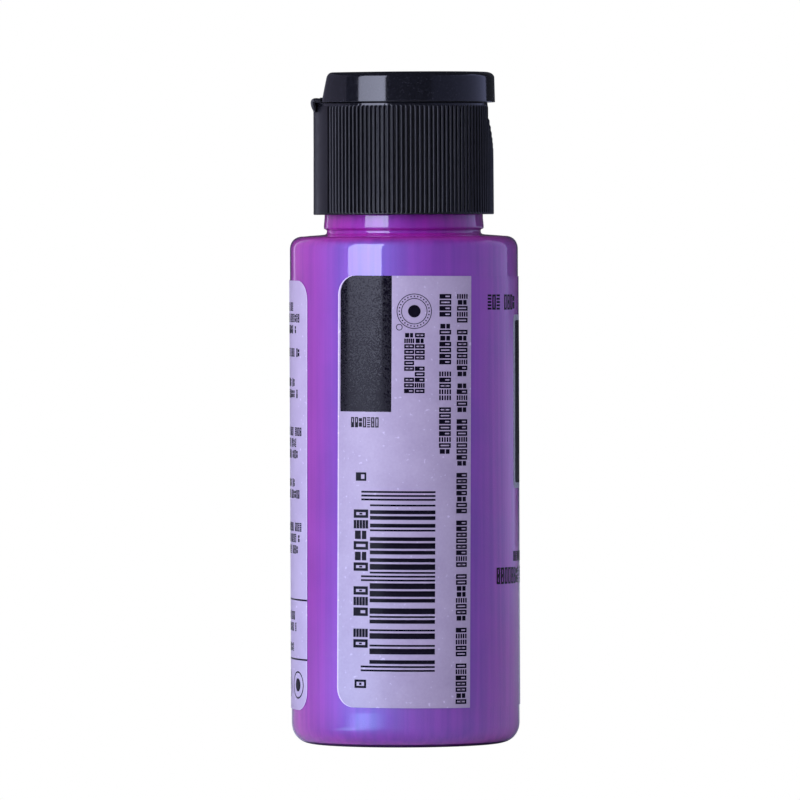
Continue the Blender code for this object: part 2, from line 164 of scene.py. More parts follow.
BACK_COLUMNS = (
    (0.55, 62.9, 8.9, 1.5, 0.84),
    (2.15, 62.9, 9.4, 1.5, 0.84),
    (6.1, 68.8, 25.0, 1.9, 0.9),
    (8.92, 68.8, 62.0, 1.85, 0.9),
)
ROUNDEL = Vector((1.3, 66.1)) * MM
ROUNDEL_RINGS = ((2.66 * MM, 56), (1.98 * MM, 48))  # outer radius and steps
ROUNDEL_LINE = 0.12 * MM
ROUNDEL_DOTS = 28
ROUNDEL_DOT = 0.2 * MM
ROUNDEL_DOT_CIRCLE = 2.26 * MM
ROUNDEL_CORE = 0.95 * MM
SMALL_RING = Vector((-0.95, 63.68)) * MM
SMALL_RING_RADIUS = 0.5 * MM
PARAGRAPHS = (  # height of the first line in mm, and lines
    (67.45, 3), (60.5, 1), (55.95, 2), (48.5, 3), (40.7, 2), (34.0, 3), (20.5, 2), (15.7, 1),
)
PARAGRAPH_START = 236.0  # degrees
PARAGRAPH_MARGIN = (0.8 * MM, 1.6 * MM)  # at the start and at the label's end
PARAGRAPH_PITCH = 1.72 * MM
PARAGRAPH_LETTER = (1.3 * MM, 0.7 * MM)  # height and advance
PARAGRAPH_RAG = 3.0  # mm, like the heights and half the thickness of the rules
RULES = (22.95, 13.9)
RULE_HALF = 0.13
EMBLEM_HEIGHT = 10.0 * MM
EMBLEM_INSETS = (1.6 * MM, 7.0 * MM)
EMBLEM_RING = (2.1 * MM, 1.86 * MM)
EMBLEM_CORE = 1.0 * MM
FRONT_LINES = (
    (13.7, 67.5, 9.0, 2.3, 1.05),
    (15.9, 26.0, 45.0, 2.5, 1.1),
    (21.3, 28.9, 34.2, 1.5, 0.7),
    (33.5, 12.0, 10.0, 1.4, 0.66),
)
FRONT_PANEL = (21.5 * MM, 54.0 * MM, 39.2 * MM, 65.6 * MM)  # u from and to, v from and to
FRONT_BORDER = 0.85 * MM
FRONT_CORNERS = ((0.8 * MM,) * 4, (0.5 * MM,) * 4)  # of the outline and of the panel in it
STROKES = 9
STROKES_START = 43.0  # mm, like the next three
STROKES_PITCH = 0.62
STROKES_INSET = 4.0
STROKES_RAG = (2.2, 3.4)
STROKE_WIDTH = 0.56 * MM
STROKE_CORNERS = (0.25 * MM,) * 4
FRONT_BLOCKS = ((60.2, 2.6, 1.7, 4.6), (55.0, 3.4, 2.2, 3.6))  # mm: height up, height, advance and inset
FRONT_BLOCK_HALF = 0.36  # share of the advance
FRONT_BLOCK_CORNERS = (0.3 * MM,) * 4

# Closure
SKIRT_RADIUS = 13.76 * MM
RIB_COUNT = 120
RIB_DEPTH = 0.45 * MM
RIB_PROFILE = (  # place in the pitch, and depth: 1 in the valley, 0 on the crest
    (0.0, 1.0), (0.26, 1.0), (0.34, 0.31), (0.40, 0.16), (0.48, 0.06), (0.56, 0.012),
    (0.63, 0.0), (0.70, 0.012), (0.78, 0.06), (0.86, 0.16), (0.92, 0.31),
)
SMOOTH_HALF = 33.0  # degrees each side of -X without ribs
SMOOTH_STEPS = 44
SMOOTH_END = 0.06  # the last column's distance from the first rib, in ribs
RIB_PITCH = 360.0 / RIB_COUNT
FIRST_RIB = -180.0 + SMOOTH_HALF
RIBS_CUT = int(2.0 * (180.0 - SMOOTH_HALF) / RIB_PITCH)
TINY = 1e-6
SMOOTH_SINK = 0.02  # how far the smooth part lies below the crests, as a share of the ribs' depth
RIB_TOP = 97.1 * MM
DECK_TOP = 97.57 * MM
SKIRT_FOOT = (  # mm up from the skirt's bottom, mm in from its radius, share of the ribs' depth
    (0.0, 0.12, 0.0),
    (0.06, 0.03, 0.0),
    (0.16, 0.0, 0.0),
    (0.26, 0.0, 0.1),
    (0.5, 0.0, 1.0),
    (8.7, 0.03, 1.0),
)
SCOOP_ROWS = (89.8 * MM, 0.36 * MM, 36)  # where they start, how far under RIB_TOP they end, and steps
SCOOP_ROW_INSET = 0.04 * MM
RIB_HEAD = ((0.24, 0.9), (0.14, 0.6), (0.06, 0.28), (0.0, 0.1))  # mm under RIB_TOP, share of the depth
RIB_HEAD_INSET = 0.06 * MM
RIB_HEAD_TAPER = 0.08 * MM
DECK_EDGE = ((13.6, 97.14), (13.59, 97.42), (13.56, 97.5), (13.5, 97.55), (13.4, 97.57))  # (r, z) in mm
CLOSURE_BORE = 12.2 * MM
BORE_CORNER = 0.3  # mm
BORE_FOOT = ((12.2, 82.9), (12.5, 82.5))  # (r, z) in mm
SKIRT_FOOT_INSIDE = ((12.55, 0.15), (12.75, 0.0))  # mm: radius, and height over the skirt's bottom
PLATEAU_RADIUS = 10.3 * MM
PLATEAU_TOP = 98.2 * MM
GLOSS_TOP = DECK_TOP - 0.01 * MM  # the deck's rounded rim is glossy below this and outside the next
GLOSS_RADIUS = PLATEAU_RADIUS + 1.0 * MM
PLATEAU_FOOT = ((0.0, 0.0), (-0.15, 0.1))  # mm from its radius and the deck
PLATEAU_EDGE = ((-0.25, -0.12), (-0.4, 0.0))  # mm from its radius and top
SPOUT_FOOT = ((3.3, 0.0), (2.95, 0.15))  # mm: radius, and height over the plateau
# mm: radius, and height over the spout's top
SPOUT_LINE = ((2.52, -0.4), (2.4, -0.12), (2.2, 0.0), (1.75, 0.0), (1.58, -0.15))
ORIFICE_FOOT = ((1.55, 0.6), (2.1, 0.0))  # mm: radius, and height over the deck's underside
DECK_BOTTOM = 96.1 * MM
SCOOP_BOTTOM = 89.9 * MM
SCOOP_HALF_WIDTH = 4.95 * MM
SCOOP_WIDENING = (1.22, 0.85)  # factor and power of its width's growth upwards
SCOOP_STEPS = ((90.6, 0.26), (91.7, 0.46), (93.0, 0.6), (94.0, 0.78), (95.1, 1.05))  # foot and depth in mm

# Liner
LINER_HOLE = 1.8 * MM
LINER_EDGE = 0.1  # mm

# Lid
LID_RADIUS = 13.99 * MM
LID_BOTTOM = 97.65 * MM
LID_DRAFT = 0.11 * MM
LID_EDGE_IN = 1.25 * MM
LID_EDGE_DOWN = 0.87 * MM
LID_CROWN = 0.03 * MM
LID_LEAN = 0.1 * MM  # how much lower the top is at the rear
LID_WALL = 1.2 * MM
LID_CEILING = LID_TOP - 1.1 * MM
LID_BACK_FOOT = 12.42 * MM
LID_BACK_HEAD = 11.47 * MM
LID_BACK_CORNER = 0.1 * MM
LID_REAR_FACING = 0.1  # how far a direction must face the rear for the slanted face to cut it
LID_CROWN_SHARES = (0.2, 0.45, 0.7, 0.9)
LID_STEPS = 720
LID_EDGE_STEPS = 10
LID_WALL_STEPS = 6
LID_REAR_EDGE = 0.45  # how much smaller the top's rounding is at the rear
LID_REAR_START = 0.55  # the facing at which it starts to shrink, and over how much
LID_REAR_SPAN = 0.3
LID_FOOT = ((0.07, 0.0), (0.02, 0.02), (0.0, 0.08))  # mm up, mm in
LID_FOOT_TOP = 0.16 * MM
LID_ROOF_FILLET = (0.3 * MM, 0.05 * MM, 0.4 * MM)
PIN_LINE = ((0.0, 98.9), (0.95, 98.9), (1.2, 99.3))  # (r, z) in mm
PIN_RADIUS = 1.2  # mm
SEAL_LINE = ((3.05, 99.4), (3.15, 99.3), (3.65, 99.3), (3.75, 99.4))  # (r, z) in mm
PLUG_SINK = 0.2  # mm that the pin and the seal ring reach into the roof
LEAF_FROM = Vector((-12.7, 97.67)) * MM
LEAF_TO = Vector((-10.9, 98.4)) * MM
LEAF_SPARE = 2.3 * MM
LEAF_BEVEL = 0.12 * MM

# Hinge
HINGE_AXIS = Vector((-13.38, 97.72)) * MM
STRAP_RISE = ((-0.08, -1.5), (-0.2, -0.85))  # mm from the axis, up the skirt's wall
STRAP_LOOP = (  # mm from the axis, out and over the rim
    (-0.33, -0.35), (-0.34, 0.02), (-0.2, 0.2), (0.1, 0.26),
    (0.45, 0.24), (0.8, 0.2), (1.2, 0.16),
)
STRAP_STEPS = 5
STRAP_CORNER = 0.06 * MM
STRAP_TIP = 0.55  # share of the thickness at its root
STRAP_TAPER_STEPS = 6.0
STRAP_THICKNESS = 0.7 * MM
WEB_THICKNESS = 0.2 * MM
WEB_SPREAD = 0.72  # how far the web loops out, as a share of the straps

# Looks
WALL_FLOP_AND_RIM_SHADE = [  # (facing, colour), from face on to edge on; the last stop is painted shade that darkens the rims
    (0.0, (0.235, 0.014, 0.3)),
    (0.2, (0.255, 0.014, 0.305)),
    (0.42, (0.355, 0.016, 0.32)),
    (0.6, (0.46, 0.024, 0.37)),
    (0.78, (0.46, 0.012, 0.34)),
    # painted shade: the wall goes dark where it is seen edge on
    (0.9, (0.2, 0.01, 0.2)),
]
NECK_FLOP = [(0.0, (0.23, 0.003, 0.26)), (0.5, (0.335, 0.008, 0.3)), (1.0, (0.5, 0.012, 0.38))]
PEARL_ROUGHNESS = (0.49, 0.57)
PEARL_IOR = 2.5
NECK_IOR = 1.7
PEARL_TINT = (0.1, 0.45, 1.0)
GLOSS_COAT = (0.03, 90.0, 0.006 * MM)  # roughness, grain and relief
FILM_COAT = (0.16, 1500.0, 0.006 * MM)
PAINT_COAT = (0.12, 300.0, 0.01 * MM)
LAVENDER_DARK = (0.37, 0.295, 0.415)
LAVENDER_LIGHT = (0.43, 0.35, 0.47)
NOISE_MIDDLE = (0.3, 0.7)  # where most of a noise's values lie

# Light
ROOM_LIGHT = 0.085
ROOM_TINT = (0.55, 0.58, 0.72)
WARM, SPILL, COOL = (0.76, 0.79, 1.04), (0.5, 0.8, 1.15), (0.66, 0.71, 1.2)
CARD_STEP = 6.0  # degrees
CARDS = (  # name, azimuths, heights, distance, strengths, tint, whether it is mirrored, reach
    ("key_softbox", (-57.2, -22.0), (0.045, 0.42), 0.40, (6.0, 7.7), WARM, True, 0.0),
    ("key_spill", (-57.2, -22.0), (0.0, 0.045), 0.40, (4.0, 4.0), (0.7, 0.8, 1.0), True, 0.0),
    ("floor_glow_left", (-60.0, -40.0), (0.0004, 0.0004), 0.025, (0.0, 3.6), SPILL, True, 0.06),
    ("floor_glow_right", (-40.0, -13.0), (0.0004, 0.0004), 0.025, (3.6, 0.0), SPILL, True, 0.06),
    ("right_card", (35.5, 64.0), (-0.02, 0.7), 0.7, (0.2, 0.32), COOL, True, 0.0),
    ("right_card_middle", (64.0, 96.0), (-0.02, 0.7), 0.7, (0.32, 0.58), COOL, True, 0.0),
    ("right_card_far", (96.0, 128.0), (-0.02, 0.7), 0.7, (0.58, 0.98), COOL, True, 0.0),
    ("right_card_low", (128.0, 146.0), (-0.02, 0.055), 0.7, (0.98, 0.98), COOL, True, 0.0),
    ("left_card", (-143.0, -76.0), (-0.02, 0.7), 0.7, (0.42, 0.4), (0.74, 0.7, 1.0), True, 0.0),
    ("rim_strip", (-149.0, -143.0), (-0.02, 0.5), 0.7, (1.1, 1.1), WARM, True, 0.0),
    ("back_fill", (140.0, 220.0), (0.0, 0.6), 0.7, (1.2, 1.2), WARM, False, 0.0),
    ("front_fill", (-70.0, 120.0), (0.05, 0.7), 0.75, (0.7, 1.2), (0.95, 0.95, 1.0), False, 0.0),
)

# Camera
CAMERA_DISTANCE = 1.5
CAMERA_HEIGHT = 0.080
CAMERA_AIM = 0.0523
CAMERA_SIDE = -0.00068
CAMERA_LENS = 442.6
CAMERA_ROLL = -0.23  # degrees
SENSOR_WIDTH = 36.0
CLIP = (0.05, 20.0)

TURN_STEPS = 192
ON_AXIS = 1e-7  # a smaller radius counts as none
FLOOR_HALF = 6.0


# ---------------------------------------------------------------- meshes


def add_object(name, data):
    made = bpy.data.objects.new(name, data)
    bpy.context.scene.collection.objects.link(made)
    return made


def add_piece(name, bm, materials, sharp=35.0):
    """Links the bmesh as one smooth-shaded object."""
    bmesh.ops.recalc_face_normals(bm, faces=bm.faces)
    mesh = bpy.data.meshes.new(name)
    bm.to_mesh(mesh)
    bm.free()
    mesh.shade_smooth()
    mesh.set_sharp_from_angle(angle=math.radians(sharp))
    for material in materials:
        mesh.materials.append(material)
    return add_object(name, mesh)


def arc(centre, radii, start, end, steps, power=2.0):
    """Points of a (super)elliptical arc in the (r, z) plane, in degrees from +r."""
    points = []
    for i in range(steps + 1):
        angle = math.radians(start + (end - start) * i / steps)
        swing = Vector((math.cos(angle), math.sin(angle)))
        across = math.copysign(abs(swing.x) ** (2.0 / power), swing.x)
        up = math.copysign(abs(swing.y) ** (2.0 / power), swing.y)
        points.append((centre[0] + radii[0] * across, centre[1] + radii[1] * up))
    return points


def around_axis(r, degrees, z):
    """The point at a radius, an angle from +X and a height."""
    swing = math.radians(degrees)
    return (r * math.cos(swing), r * math.sin(swing), z)


def turn_into(bm, outline, closed=False):
    """Spins an (r, z) outline into the bmesh; it runs from axis to axis, or closes on itself."""
    loops = []
    for r, z in outline:
        if r < ON_AXIS:
            loops.append([bm.verts.new((0.0, 0.0, z))])
            continue
        loops.append([bm.verts.new(around_axis(r, 360.0 * i / TURN_STEPS, z)) for i in range(TURN_STEPS)])
    pairs = list(zip(loops, loops[1:]))
    if closed:
        pairs.append((loops[-1], loops[0]))
    for low, high in pairs:
        join_loops(bm, low, high)


def in_mm(places, r=0.0, z=0.0):
    """(r, z) points from places given in millimetres off a base point."""
    return [(r + across * MM, z + up * MM) for across, up in places]


def join_loops(bm, low, high):
    """Faces between two closed rings of points, either of which may be a single point."""
    count = max(len(low), len(high))
    for i in range(count):
        j = (i + 1) % count
        if len(low) == 1:
            bm.faces.new((low[0], high[j], high[i]))
        elif len(high) == 1:
            bm.faces.new((low[i], low[j], high[0]))
        else:
            bm.faces.new((low[i], low[j], high[j], high[i]))


def turned(name, outline, materials, closed=False, sharp=35.0):
    bm = bmesh.new()
    turn_into(bm, outline, closed)
    return add_piece(name, bm, materials, sharp)


def polar_loop(bm, angles, radius_at, z_at):
    """One ring of points whose radius and height depend on the angle, in degrees from +X."""
    return [bm.verts.new(around_axis(radius_at(angle), angle, z_at(angle))) for angle in angles]


# ---------------------------------------------------------------- materials


def set_inputs(node, **values):
    """Sets a node's inputs by name, with an underscore for each space."""
    for socket, value in values.items():
        node.inputs[socket.replace("_", " ")].default_value = value
    return node


def add_node(nodes, kind, **values):
    return set_inputs(nodes.new("ShaderNode" + kind), **values)


class Surface:
    """A node material built round one Principled shader."""

    def __init__(self, name):
        self.material = bpy.data.materials.new(name)
        self.material.use_nodes = True
        self.nodes = self.material.node_tree.nodes
        self.links = self.material.node_tree.links
        self.shader = self.nodes["Principled BSDF"]
        self.place = add_node(self.nodes, "TexCoord").outputs["Object"]

    def set(self, **values):
        set_inputs(self.shader, **values)

    def noise(self, scale, detail=2.0, stretch=(1.0, 1.0, 1.0)):
        """Noise whose grain is 1 / scale metres, stretched along the axes."""
        mapping = add_node(self.nodes, "Mapping", Scale=stretch)
        self.links.new(self.place, mapping.inputs["Vector"])
        texture = add_node(self.nodes, "TexNoise", Scale=scale, Detail=detail)
        self.links.new(mapping.outputs["Vector"], texture.inputs["Vector"])
        return texture.outputs["Fac"]

    def ramp(self, value, stops):
        """A colour ramp through (position, colour) stops."""
        node = add_node(self.nodes, "ValToRGB")
        elements = node.color_ramp.elements
        while len(elements) < len(stops):
            elements.new(0.5)
        for element, (position, colour) in zip(elements, stops):
            element.position = position
            element.color = (*colour, 1.0)
        self.links.new(value, node.inputs["Fac"])
        return node.outputs["Color"]

    def remap(self, value, source, target):
        """The value with one range mapped onto another."""
        limits = dict(zip(("From_Min", "From_Max", "To_Min", "To_Max"), (*source, *target)))
        node = add_node(self.nodes, "MapRange", **limits)
        self.links.new(value, node.inputs["Value"])
        return node.outputs["Result"]

    def spread(self, value, low, high):
        """The middle of a noise's range, mapped onto low to high."""
        return self.remap(value, NOISE_MIDDLE, (low, high))

    def fading_up(self, low, high, amount):
        """The amount at the low height, fading to nothing at the high one."""
        parts = add_node(self.nodes, "SeparateXYZ")
        self.links.new(self.place, parts.inputs["Vector"])
        return self.remap(parts.outputs["Z"], (low, high), (amount, 0.0))

    def add(self, first, second):
        node = add_node(self.nodes, "Math")
        node.operation = "ADD"
        self.links.new(first, node.inputs[0])
        self.links.new(second, node.inputs[1])
        return node.outputs["Value"]

    def multiply(self, first, second):
        """The product of two colours."""
        node = add_node(self.nodes, "Mix", Factor=1.0)
        node.data_type = "RGBA"
        node.blend_type = "MULTIPLY"
        self.links.new(first, node.inputs["A"])
        self.links.new(second, node.inputs["B"])
        return node.outputs["Result"]

    def drive(self, socket, value):
        self.links.new(value, self.shader.inputs[socket])

    def colour(self, value, stops):
        self.drive("Base Color", self.ramp(value, stops))

    def roughness(self, value, low, high):
        self.drive("Roughness", self.spread(value, low, high))

    def relief(self, scale, detail, depth, socket="Normal"):
        """Noise of the given depth in metres under the shader's own or its coat's normal."""
        height = self.noise(scale, detail)
        node = add_node(self.nodes, "Bump", Strength=1.0, Distance=depth)
        self.links.new(height, node.inputs["Height"])
        self.links.new(node.outputs["Normal"], self.shader.inputs[socket])


def pearl(name, coat, flop, glint_ior):
    """Violet pearl paint under clear plastic: it turns magenta at a slant, and its flakes glint blue."""
    surface = Surface(name)
    coat_roughness, coat_grain, coat_relief = coat
    streaks = surface.noise(1000.0, 4.0, (1.0, 1.0, 0.02))
    clouds = surface.noise(120.0, 4.0)
    mixed = surface.add(surface.spread(streaks, 0.0, 0.65), surface.spread(clouds, 0.0, 0.35))
    slant = add_node(surface.nodes, "LayerWeight", Blend=0.5)
    # Colour by slant; on the wall the flop ends in painted shade at the rims
    violet = surface.ramp(slant.outputs["Facing"], flop)
    shade = surface.ramp(mixed, [(0.2, (0.83, 0.7, 0.88)), (0.8, (1.14, 1.4, 1.1))])
    surface.drive("Base Color", surface.multiply(violet, shade))
    surface.roughness(clouds, *PEARL_ROUGHNESS)
    surface.set(IOR=glint_ior, Specular_Tint=(*PEARL_TINT, 1.0))
    surface.set(Coat_Weight=1.0, Coat_Roughness=coat_roughness, Coat_IOR=1.6)
    surface.relief(5200.0, 2.0, 0.03 * MM)
    surface.relief(coat_grain, 2.0, coat_relief, "Coat Normal")
    return surface.material


def lavender_ink(name, painted_light_gain=1.0):
    surface = Surface(name)
    cloud = surface.noise(260.0, 5.0)
    grain = surface.noise(2600.0, 3.0)
    mixed = surface.add(surface.spread(cloud, 0.0, 0.6), surface.spread(grain, 0.0, 0.4))
    # The gain lightens the ink as painted light: a highlight on the cut edges, and brighter light on the
    # left-hand panel.
    dark = tuple(painted_light_gain * part for part in LAVENDER_DARK)
    light = tuple(painted_light_gain * part for part in LAVENDER_LIGHT)
    tone = surface.ramp(mixed, [(0.1, dark), (0.9, light)])
    flecks = surface.ramp(surface.noise(1500.0, 1.0), [(0.69, (1.0, 1.0, 1.0)), (0.76, (1.35, 1.4, 1.35))])
    surface.drive("Base Color", surface.multiply(tone, flecks))
    surface.roughness(grain, 0.34, 0.5)
    surface.relief(2400.0, 3.0, 0.006 * MM)
    return surface.material


def grained(name, tone, shades, dullness, relief, **values):
    """A surface with noise in its tone and roughness (scale, detail) and relief (scale, detail, depth)."""
    surface = Surface(name)
    grain = surface.noise(*tone)
    surface.colour(grain, shades)
    surface.roughness(grain, *dullness)
    surface.set(**values)
    surface.relief(*relief)
    return surface.material


def dark_ink(name, colour, dullness):
    shades = [(0.35, colour), (0.65, tuple(1.6 * part for part in colour))]
    return grained(name, (3300.0, 3.0), shades, dullness, (2400.0, 3.0, 0.012 * MM), IOR=1.18)


def block_ink():
    """Black ink whose fine grain breaks up the light that it mirrors."""
    surface = Surface("block_ink")
    grain = surface.noise(4600.0, 6.0)
    surface.colour(grain, [(0.45, (0.003, 0.002, 0.006)), (0.65, (0.007, 0.005, 0.01))])
    duller = surface.add(grain, surface.fading_up(BLOCK_BOTTOM, LABEL_TOP, 0.12))
    surface.drive("Roughness", surface.ramp(duller, [(0.48, (0.06,) * 3), (0.6, (0.4,) * 3)]))
    surface.set(IOR=1.275)
    surface.relief(2400.0, 3.0, 0.006 * MM)
    return surface.material


def gloss_black():
    """The lid: polished black polypropylene with faint flow waves and hairline scuffs."""
    surface = Surface("gloss_black")
    scuffs = surface.noise(900.0, 6.0, (1.0, 1.0, 0.15))
    dust = surface.noise(4200.0, 2.0)
    surface.colour(dust, [(0.55, (0.006, 0.006, 0.009)), (0.8, (0.02, 0.02, 0.026))])
    surface.roughness(scuffs, 0.07, 0.13)
    surface.set(IOR=1.5)
    surface.relief(160.0, 2.0, 0.002 * MM)
    return surface.material


def ribbed_black():
    """The skirt: black polypropylene with a fine moulded grain."""
    shades = [(0.3, (0.004, 0.004, 0.006)), (0.7, (0.007, 0.007, 0.01))]
    return grained("ribbed_black", (420.0, 5.0), shades, (0.3, 0.42), (6500.0, 2.0, 0.003 * MM), IOR=1.42)


def foot_contact_shade():
    """The bottom band under the paint, painted nearly black: a painted contact shadow where it meets the
    floor.
    """
    shades = [(0.3, (0.05, 0.012, 0.09)), (0.7, (0.08, 0.016, 0.12))]
    return grained("foot_contact_shade", (180.0, 3.0), shades, (0.3, 0.45), (1500.0, 2.0, 0.003 * MM), IOR=1.12)


def clear_plastic():
    """The neck above the paint."""
    shades = [(0.3, (0.78, 0.77, 0.84)), (0.7, (0.86, 0.85, 0.9))]
    relief = (700.0, 3.0, 0.01 * MM)
    return grained("clear_plastic", (700.0, 3.0), shades, (0.05, 0.1), relief, Alpha=0.28, IOR=1.57)


def foam():
    shades = [(0.3, (0.66, 0.66, 0.63)), (0.7, (0.82, 0.82, 0.8))]
    return grained("liner_foam", (3800.0, 4.0), shades, (0.75, 0.95), (3800.0, 4.0, 0.04 * MM))


def pale_floor():
    """White to the camera, and plain white card for everything else."""
    surface = Surface("pale_floor")
    paper = surface.noise(60.0, 3.0)
    surface.colour(paper, [(0.3, (0.78, 0.78, 0.78)), (0.7, (0.82, 0.82, 0.82))])
    surface.set(Roughness=0.9)
    glow = add_node(surface.nodes, "Emission")
    path = add_node(surface.nodes, "LightPath")
    mix = add_node(surface.nodes, "MixShader")
    surface.links.new(path.outputs["Is Camera Ray"], mix.inputs["Fac"])
    surface.links.new(surface.shader.outputs["BSDF"], mix.inputs[1])
    surface.links.new(glow.outputs["Emission"], mix.inputs[2])
    surface.links.new(mix.outputs["Shader"], surface.nodes["Material Output"].inputs["Surface"])
    return surface.material


# ---------------------------------------------------------------- bottle


def bottle_wall():
    """Outer line from the push-up's crown to the lip."""
    ring_outer = BODY_RADIUS - BASE_CORNER
    ring_inner = ring_outer - RING_WIDTH
    shoulder = (BODY_RADIUS - SHOULDER_CORNER, SHOULDER_RIM - SHOULDER_CORNER)
    line = [(share * ring_inner, rise * PUSH_UP_RISE) for share, rise in PUSH_UP_LINE]
    line += in_mm(RING_STEP, ring_inner)
    line += arc((ring_outer, BASE_CORNER), (BASE_CORNER,) * 2, -90.0, 0.0, BASE_STEPS, BASE_CORNER_POWER)
    line += arc(shoulder, (SHOULDER_CORNER,) * 2, 0.0, SHOULDER_SWEEP, SHOULDER_STEPS, SHOULDER_POWER)
    line += in_mm(GROOVE_LINE) + in_mm(BEAD_LINE, 0.0, BEAD_TOP)
    line.append((NECK_RADIUS, PAINT_LEVEL))
    return line + in_mm(LIP_LINE, NECK_RADIUS, NECK_TOP)


def inner_wall(inset):
    """Inner line of the bottle from the push-up's crown to the bore."""
    side = BODY_RADIUS - WALL - inset
    foot = WALL + inset
    ring = BODY_RADIUS - BASE_CORNER
    roof = SHOULDER_HEIGHT - WALL - inset
    bore = BORE_RADIUS - inset
    share, rise = PUSH_UP_INSIDE
    line = [(0.0, PUSH_UP_RISE + foot), (share * ring, rise * PUSH_UP_RISE + foot)]
    line.append((ring - RING_WIDTH, foot))
    line += arc((ring, foot + side - ring), (side - ring,) * 2, -90.0, 0.0, INNER_STEPS[0])
    corner = (side - INNER_CORNER, roof - INNER_CORNER)
    line += arc(corner, (INNER_CORNER,) * 2, 0.0, 90.0, INNER_STEPS[1])
    return line + [(bore + BORE_FLARE[0], roof), (bore, roof + BORE_FLARE[1])]


def screw_thread(bm):
    """A rounded ridge that climbs round the neck."""
    steps = int(TURN_STEPS * THREAD_TURNS)
    sweep = 360.0 * THREAD_TURNS
    profile = [(share, -rise * MM) for share, rise in THREAD_PROFILE]
    profile += [(share, rise * MM) for share, rise in reversed(THREAD_PROFILE)]
    sections = []
    for i in range(steps + 1):
        angle = sweep * i / steps
        full = min(1.0, angle / THREAD_RISE, (sweep - angle) / THREAD_RISE)
        height = (THREAD_CREST - THREAD_ROOT) * max(full, THREAD_LEAST)
        middle = THREAD_START + PITCH * angle / 360.0
        section = [(THREAD_ROOT + height * share, angle, middle + rise) for share, rise in profile]
        sections.append([bm.verts.new(around_axis(*place)) for place in section])
    close_tube(bm, sections)


def close_tube(bm, sections):
    """Faces along a row of equal closed sections, and over its two ends."""
    for near, far in zip(sections, sections[1:]):
        join_loops(bm, near, far)
    bm.faces.new(sections[0])
    bm.faces.new(sections[-1])


def make_bottle():
    bm = bmesh.new()
    turn_into(bm, bottle_wall() + [(BORE_RADIUS, NECK_TOP)] + list(reversed(inner_wall(0.0))))
    screw_thread(bm)
    wall = pearl("paint_under_gloss", GLOSS_COAT, WALL_FLOP_AND_RIM_SHADE, PEARL_IOR)
    neck = pearl("paint_in_neck", GLOSS_COAT, NECK_FLOP, NECK_IOR)
    bottle = add_piece("bottle_shell", bm, [wall, neck, clear_plastic(), foot_contact_shade()])
    for face in bottle.data.polygons:
        if face.center.z > PAINT_LEVEL:
            face.material_index = 2
        # the lowest band gets the dark material: a painted contact shadow
        elif face.center.z < FOOT_HEIGHT:
            face.material_index = 3
        elif face.center.z > SHOULDER_RIM - NECK_LOOK_DROP:
            face.material_index = 1
    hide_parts("bottle")
    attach(bottle, "bottle_body")


def make_paint():
    outline = inner_wall(PAINT_GAP) + in_mm(PAINT_RIM, BORE_RADIUS, PAINT_LEVEL)
    outline.append((0.0, PAINT_LEVEL - PAINT_DIP))
    paint = turned("paint_fill", outline, [pearl("violet_pearl_paint", PAINT_COAT, WALL_FLOP_AND_RIM_SHADE, PEARL_IOR)])
    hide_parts("paint")
    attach(paint, "bottle_body")


# ---------------------------------------------------------------- label


def along_wall(angle):
    """Length round the wall for an angle in degrees."""
    return BODY_RADIUS * math.radians(angle)


def on_label(u, v, level):
    """The point above the wall at (u, v) on the label, which was put on slightly askew."""
    around = (u + LABEL_DROP * (v - LABEL_MIDDLE)) / BODY_RADIUS
    r = BODY_RADIUS + level
    z = v - LABEL_DROP * (u - along_wall(LABEL_START))
    return Vector((r * math.sin(around), -r * math.cos(around), z))


def slab_section(bm, low, high, level, thickness):
    """Four corners, of which two lie on the (u, v) point low and two on the point high."""
    section = [on_label(*low, level - thickness), on_label(*low, level)]
    section += [on_label(*high, level), on_label(*high, level - thickness)]
    return [bm.verts.new(point) for point in section]


def add_slab(bm, columns, level, thickness=INK_THICKNESS):
    """A thin closed patch of the label from (u, low, high) columns."""
    close_tube(bm, [slab_section(bm, (u, low), (u, high), level, thickness) for u, low, high in columns])


def trim(distance, radius):
    """How far a rounded corner takes in an edge at a distance from the strip's end."""
    if distance >= radius:
        return 0.0
    reach = radius - distance
    return radius - math.sqrt(max(0.0, radius**2 - reach**2))


def rectangle(u_from, u_to, v_from, v_to, corners=(0.0, 0.0, 0.0, 0.0)):
    """Columns of a rectangle; its corner radii are bottom start, top start, bottom end, top end."""
    stops = {u_from, u_to}
    count = max(1, math.ceil((u_to - u_from) / SLAB_STEP))
    stops.update(u_from + (u_to - u_from) * i / count for i in range(count + 1))
    start_radius = max(corners[:2])
    end_radius = max(corners[2:])
    for i in range(1, CORNER_STEPS + 1):
        share = 1.0 - math.cos(math.radians(90.0 * i / CORNER_STEPS))
        if start_radius:
            stops.add(u_from + start_radius * share)
        if end_radius:
            stops.add(u_to - end_radius * share)
    columns = []
    for u in sorted(stops):
        low = v_from + max(trim(u - u_from, corners[0]), trim(u_to - u, corners[2]))
        high = v_to - max(trim(u - u_from, corners[1]), trim(u_to - u, corners[3]))
        columns.append((u, low, low + SLAB_LEAST if high - low < SLAB_LEAST else high))
    return columns


def disc(centre_u, centre_v, radius):
    columns = []
    for i in range(DISC_STEPS + 1):
        swing = math.radians(180.0 * i / DISC_STEPS)
        half = max(SLAB_LEAST, radius * math.sin(swing))
        columns.append((centre_u - radius * math.cos(swing), centre_v - half, centre_v + half))
    return columns


def add_ring(bm, centre, outer, inner, steps=40):
    """A thin printed ring."""
    sections = []
    for i in range(steps):
        around = math.tau * i / steps
        across = Vector((math.cos(around), math.sin(around)))
        sections.append(
            slab_section(bm, centre + across * inner, centre + across * outer, PRINT_LEVEL, INK_THICKNESS)
        )
    for near, far in zip(sections, sections[1:] + sections[:1]):
        join_loops(bm, near, far)


def add_box(bm, u, v, width, height):
    """A small printed block with its middle at (u, v)."""
    columns = rectangle(u - 0.5 * width, u + 0.5 * width, v - 0.5 * height, v + 0.5 * height)
    add_slab(bm, columns, PRINT_LEVEL)


